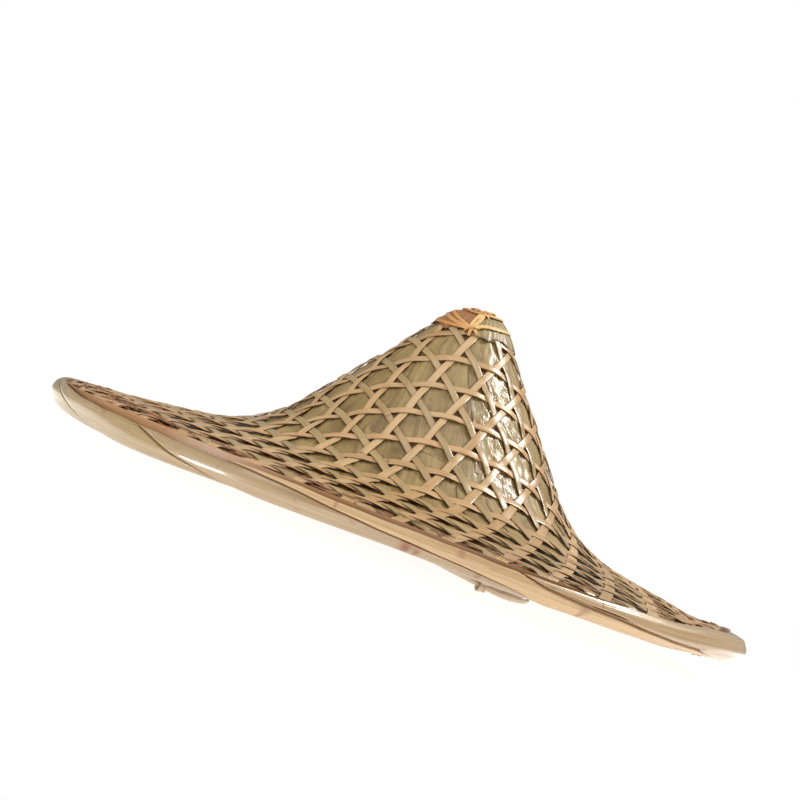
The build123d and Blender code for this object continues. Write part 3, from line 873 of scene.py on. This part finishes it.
def tip_patch(sheets, a0, a1, reach, hue, tone, lift):
    """A brown split spread over the tip from azimuth a0 to a1, with a ragged lower edge."""
    v = np.linspace(0, 1, 70)[None, :]
    u = np.linspace(0, 1, 26)[:, None]
    angle = np.radians(a0 + (a1 - a0) * v)
    ragged = 1.0 + 0.06 * np.sin(v * 13 + a0) + 0.02 * np.sin(v * 41 + 2)
    s = (1.0 * MM + (reach * MM * ragged - 1.0 * MM) * u)
    pleat = 0.18 * MM * np.sin(v * 37 + a0) * u + 0.12 * MM * np.sin(v * 83 + 3 * u)
    top = over_tip(s, angle + 0 * u, lift * MM + pleat)
    bottom = over_tip(s, angle + 0 * u, lift * MM + pleat - 0.3 * MM)
    uv = np.stack(np.broadcast_arrays(s, angle * 20 * MM), axis=-1)
    border = np.clip((u - 0.93) / 0.05, 0, 1) * 0.5 * np.ones_like(angle)
    sheets.slab(top, bottom, uv, tone=tone, hue=hue, mark=border, seed=a0)


def tip_band(sheets, stops, width, hue, tone=0.0):
    """A narrow split laid over the tip through places (azimuth, length, lift)."""
    stops = np.array(stops, dtype=float)
    t = np.linspace(0, len(stops) - 1, 40 * len(stops))
    path = np.stack([np.interp(t, np.arange(len(stops)), stops[:, c]) for c in range(3)], axis=1)
    kernel = np.ones(31) / 31
    padded = np.pad(path, ((30, 30), (0, 0)), mode="edge")
    for _ in range(2):
        columns = [np.convolve(padded[:, c], kernel, mode="same") for c in range(3)]
        padded = np.stack(columns, axis=1)
    path = padded[30:-30]
    azimuth, s, lift = np.radians(path[:, 0]), path[:, 1] * MM, path[:, 2] * MM
    centre = over_tip(s, azimuth, lift)
    normal = over_tip(s, azimuth, lift + 1 * MM) - centre
    hues = np.interp(np.linspace(0, 1, len(t)), np.linspace(0, 1, len(hue)), hue)
    sheets.ribbon(
        centre, normal, width * MM, 0.7 * MM, tone=tone, hue=hues[:, None], seed=stops[0, 1]
    )


def knot(sheets, azimuth, s, size):
    """Three short turns of split crossing over one another."""
    r = np.interp(s * MM, S, R) / MM
    for k, (angle, rise) in enumerate(((25, 1.2), (95, 1.7), (150, 2.3))):
        t = np.linspace(-1, 1, 30)
        across = size * t * cos(radians(angle))
        down = size * t * sin(radians(angle))
        lift = 0.5 + rise * (1 - t ** 2) - 1.2 * np.abs(t) ** 5
        turn = np.radians(azimuth) + across / r
        centre = over_tip((s + down) * MM, turn, lift * MM)
        normal = over_tip((s + down) * MM, turn, (lift + 1) * MM) - centre
        tone = 0.3 - 0.2 * k
        sheets.ribbon(centre, normal, 2.1 * MM, 0.8 * MM, tone=tone, hue=0.1, seed=k)


def tip():
    """Brown and pale splits over the tip, under yellow lashings that meet in two knots."""
    sheets = Sheets()
    tip_patch(sheets, -196, -60, 29, 0.5, -0.2, -0.15)
    tip_patch(sheets, -100, -4, 30, 0.25, 0.1, 0.1)
    sheets.build("tip_cover_brown", brown_split, ["tip_wrap_1", "tip_wrap_2"])
    sheets = Sheets()
    tip_patch(sheets, -14, 100, 28, -1.0, 0.3, 0.0)
    tip_patch(sheets, 80, 176, 30, -0.9, 0.1, 0.25)
    sheets.build("tip_cover_pale", brown_split, ["tip_wrap_3"])

    # the two knots (azimuth, length), and for each split its places and its width
    low, top = (-7, 26.5), (4, 12.0)
    sheets = Sheets()
    loops = (
        (((*low, 0.9), (-35, 25, 0.6), (-65, 22, 0.6), (-95, 18, 0.6), (-130, 18, 0.5),
          (-170, 24, 0.4)), 2.6),
        (((*low, 1.1), (-28, 23, 0.8), (-55, 19, 0.7), (-90, 15, 0.6), (-130, 14, 0.5),
          (-165, 18, 0.4)), 2.2),
        (((*low, 0.8), (-40, 28, 0.5), (-75, 28, 0.4), (-110, 24, 0.4), (-150, 28, 0.4)), 2.4),
        (((*top, 1.0), (-30, 12, 0.8), (-75, 10, 0.7), (-120, 11, 0.6), (-160, 14, 0.5)), 2.6),
        (((*top, 1.3), (-15, 8.5, 1.0), (-60, 5, 1.0), (-120, 7, 0.8), (-165, 10, 0.6)), 2.0),
    )
    for stops, width in loops:
        tip_band(sheets, stops, width, (0.35, 0.8, 0.9), rng.uniform(-0.2, 0.3))
    sheets.build("tip_splits", rattan, ["tip_binding"])

    sheets = Sheets()
    yellow = (
        (((*low, 1.0), (-2, 20, 1.1), (*top, 1.3)), 2.4),
        (((-11, 25, 0.9), (-9, 18, 1.2), (-1, 12.5, 1.4)), 2.0),
        (((*low, 1.4), (8, 21.5, 1.0), (40, 19.5, 0.7), (85, 18.5, 0.6), (130, 20, 0.6),
          (175, 22, 0.5)), 2.5),
        (((*top, 1.5), (40, 11, 1.0), (85, 10.5, 0.8), (130, 12, 0.7), (178, 14, 0.6)), 2.3),
        (((*top, 1.1), (20, 7.5, 1.1), (100, 5, 1.1), (160, 8, 0.8)), 2.0),
    )
    for stops, width in yellow:
        tip_band(sheets, stops, width, (0.0, -0.1, 0.1), 0.4)
    knot(sheets, *low, 4.2)
    knot(sheets, *top, 3.4)
    sheets.build("tip_lashing", rattan)


# ---- floor, light and camera -------------------------------------------------------------
# The camera's place is measured from the rim's underside.
EYE = Vector((0.0, -1.507, 0.0515 + RIM_Z))
AIM = Vector((-0.0273, -0.0027, 0.0740 + RIM_Z))
ROLL = radians(21.36)
FOCAL_PX = 2546.7    # focal length in pixels of a picture IMAGE_PX wide
IMAGE_PX = 800


def camera():
    """The camera, rolled so that the hat stands level in the CAD frame."""
    data = bpy.data.cameras.new("camera")
    data.sensor_width = 36.0
    data.lens = FOCAL_PX / IMAGE_PX * data.sensor_width
    data.clip_start = 0.05
    eye = bpy.data.objects.new("camera", data)
    bpy.context.scene.collection.objects.link(eye)
    look = (AIM - EYE).to_track_quat("-Z", "Y").to_matrix()
    eye.matrix_world = Matrix.Translation(EYE) @ (look @ Matrix.Rotation(ROLL, 3, "Z")).to_4x4()
    bpy.context.scene.camera = eye


def softbox(name, azimuth, elevation, distance, size, power, colour=(1, 1, 1)):
    """A rectangular lamp that faces the hat."""
    data = bpy.data.lights.new(name, "AREA")
    data.shape = "RECTANGLE"
    data.size, data.size_y = size
    data.energy = power
    data.color = colour
    light = bpy.data.objects.new(name, data)
    bpy.context.scene.collection.objects.link(light)
    a, e = radians(azimuth), radians(elevation)
    middle = Vector((0, 0, 0.06))
    place = Vector((sin(a) * cos(e), -cos(a) * cos(e), sin(e))) * distance + middle
    turn = (middle - place).to_track_quat("-Z", "Y").to_matrix().to_4x4()
    light.matrix_world = Matrix.Translation(place) @ turn


def floor():
    """A round pale floor that fades into the white background."""
    mesh = bpy.data.meshes.new("floor")
    half = 1.6
    corners = [(-half, -half, 0), (half, -half, 0), (half, half, 0), (-half, half, 0)]
    mesh.from_pydata(corners, [], [(0, 1, 2, 3)])
    m = Nodes("floor")
    place = m.add("ShaderNodeNewGeometry", output="Position")
    distance = m.add("ShaderNodeVectorMath", {0: place}, output="Value", operation="LENGTH")
    fade = m.add("ShaderNodeMapRange", {"Value": distance, "From Min": 0.3, "From Max": 0.9})
    clear = m.add("ShaderNodeBsdfTransparent")
    m.shader.inputs["Base Color"].default_value = (0.9, 0.9, 0.9, 1)
    m.shader.inputs["Roughness"].default_value = 0.9
    m.shader.inputs["Specular IOR Level"].default_value = 0.0
    m.shader.inputs["Emission Color"].default_value = (1, 1, 1, 1)
    m.shader.inputs["Emission Strength"].default_value = 0.85
    mixed = m.add("ShaderNodeMixShader", {0: fade, 1: m.shader.outputs[0], 2: clear})
    m.tree.links.new(mixed, m.tree.nodes["Material Output"].inputs[0])
    mesh.materials.append(m.material)
    plane = bpy.data.objects.new("floor", mesh)
    bpy.context.scene.collection.objects.link(plane)


def backdrop():
    """A soft warm light all round, seen by the camera as plain white."""
    world = bpy.data.worlds.new("studio")
    world.use_nodes = True
    tree = world.node_tree
    tree.nodes.clear()
    output = tree.nodes.new("ShaderNodeOutputWorld")
    mix = tree.nodes.new("ShaderNodeMixShader")
    seen = tree.nodes.new("ShaderNodeLightPath")
    tree.links.new(seen.outputs["Is Camera Ray"], mix.inputs[0])
    for i, (strength, colour) in enumerate(((0.36, (1.0, 0.97, 0.93, 1)), (1.0, (1, 1, 1, 1)))):
        shade = tree.nodes.new("ShaderNodeBackground")
        shade.inputs[0].default_value = colour
        shade.inputs[1].default_value = strength
        tree.links.new(shade.outputs[0], mix.inputs[1 + i])
    tree.links.new(mix.outputs[0], output.inputs[0])
    bpy.context.scene.world = world


camera()
floor()
backdrop()
# azimuth and elevation in degrees, distance and size in metres, watts
softbox("key", 106, 53, 1.3, (0.32, 0.32), 16, (1.0, 0.98, 0.95))
softbox("top", -25, 60, 1.4, (1.2, 1.2), 9)
softbox("left", -56, 3, 1.2, (0.34, 0.12), 6.0)
softbox("front", 12, 2.5, 1.7, (0.9, 0.16), 3.5)

# height over the canopy, and the tone and hue of each family
weave("outer", 0.0, (-0.05, 0.15, 0.0, -0.05), (0.35, 0.0, 0.1, -0.6))
weave("inner", INNER_WEAVE, (0.0, 0.1, -0.1, 0.0), (0.1, -0.2, 0.2, -0.3))
leaves()
rim_covers()
rim_bark()
rim_hoop()
rim_rod()
cut_hoop_end()
inner_hoop_and_ties()
head_ring()
tip()
bpy.context.scene.view_settings.view_transform = "Standard"
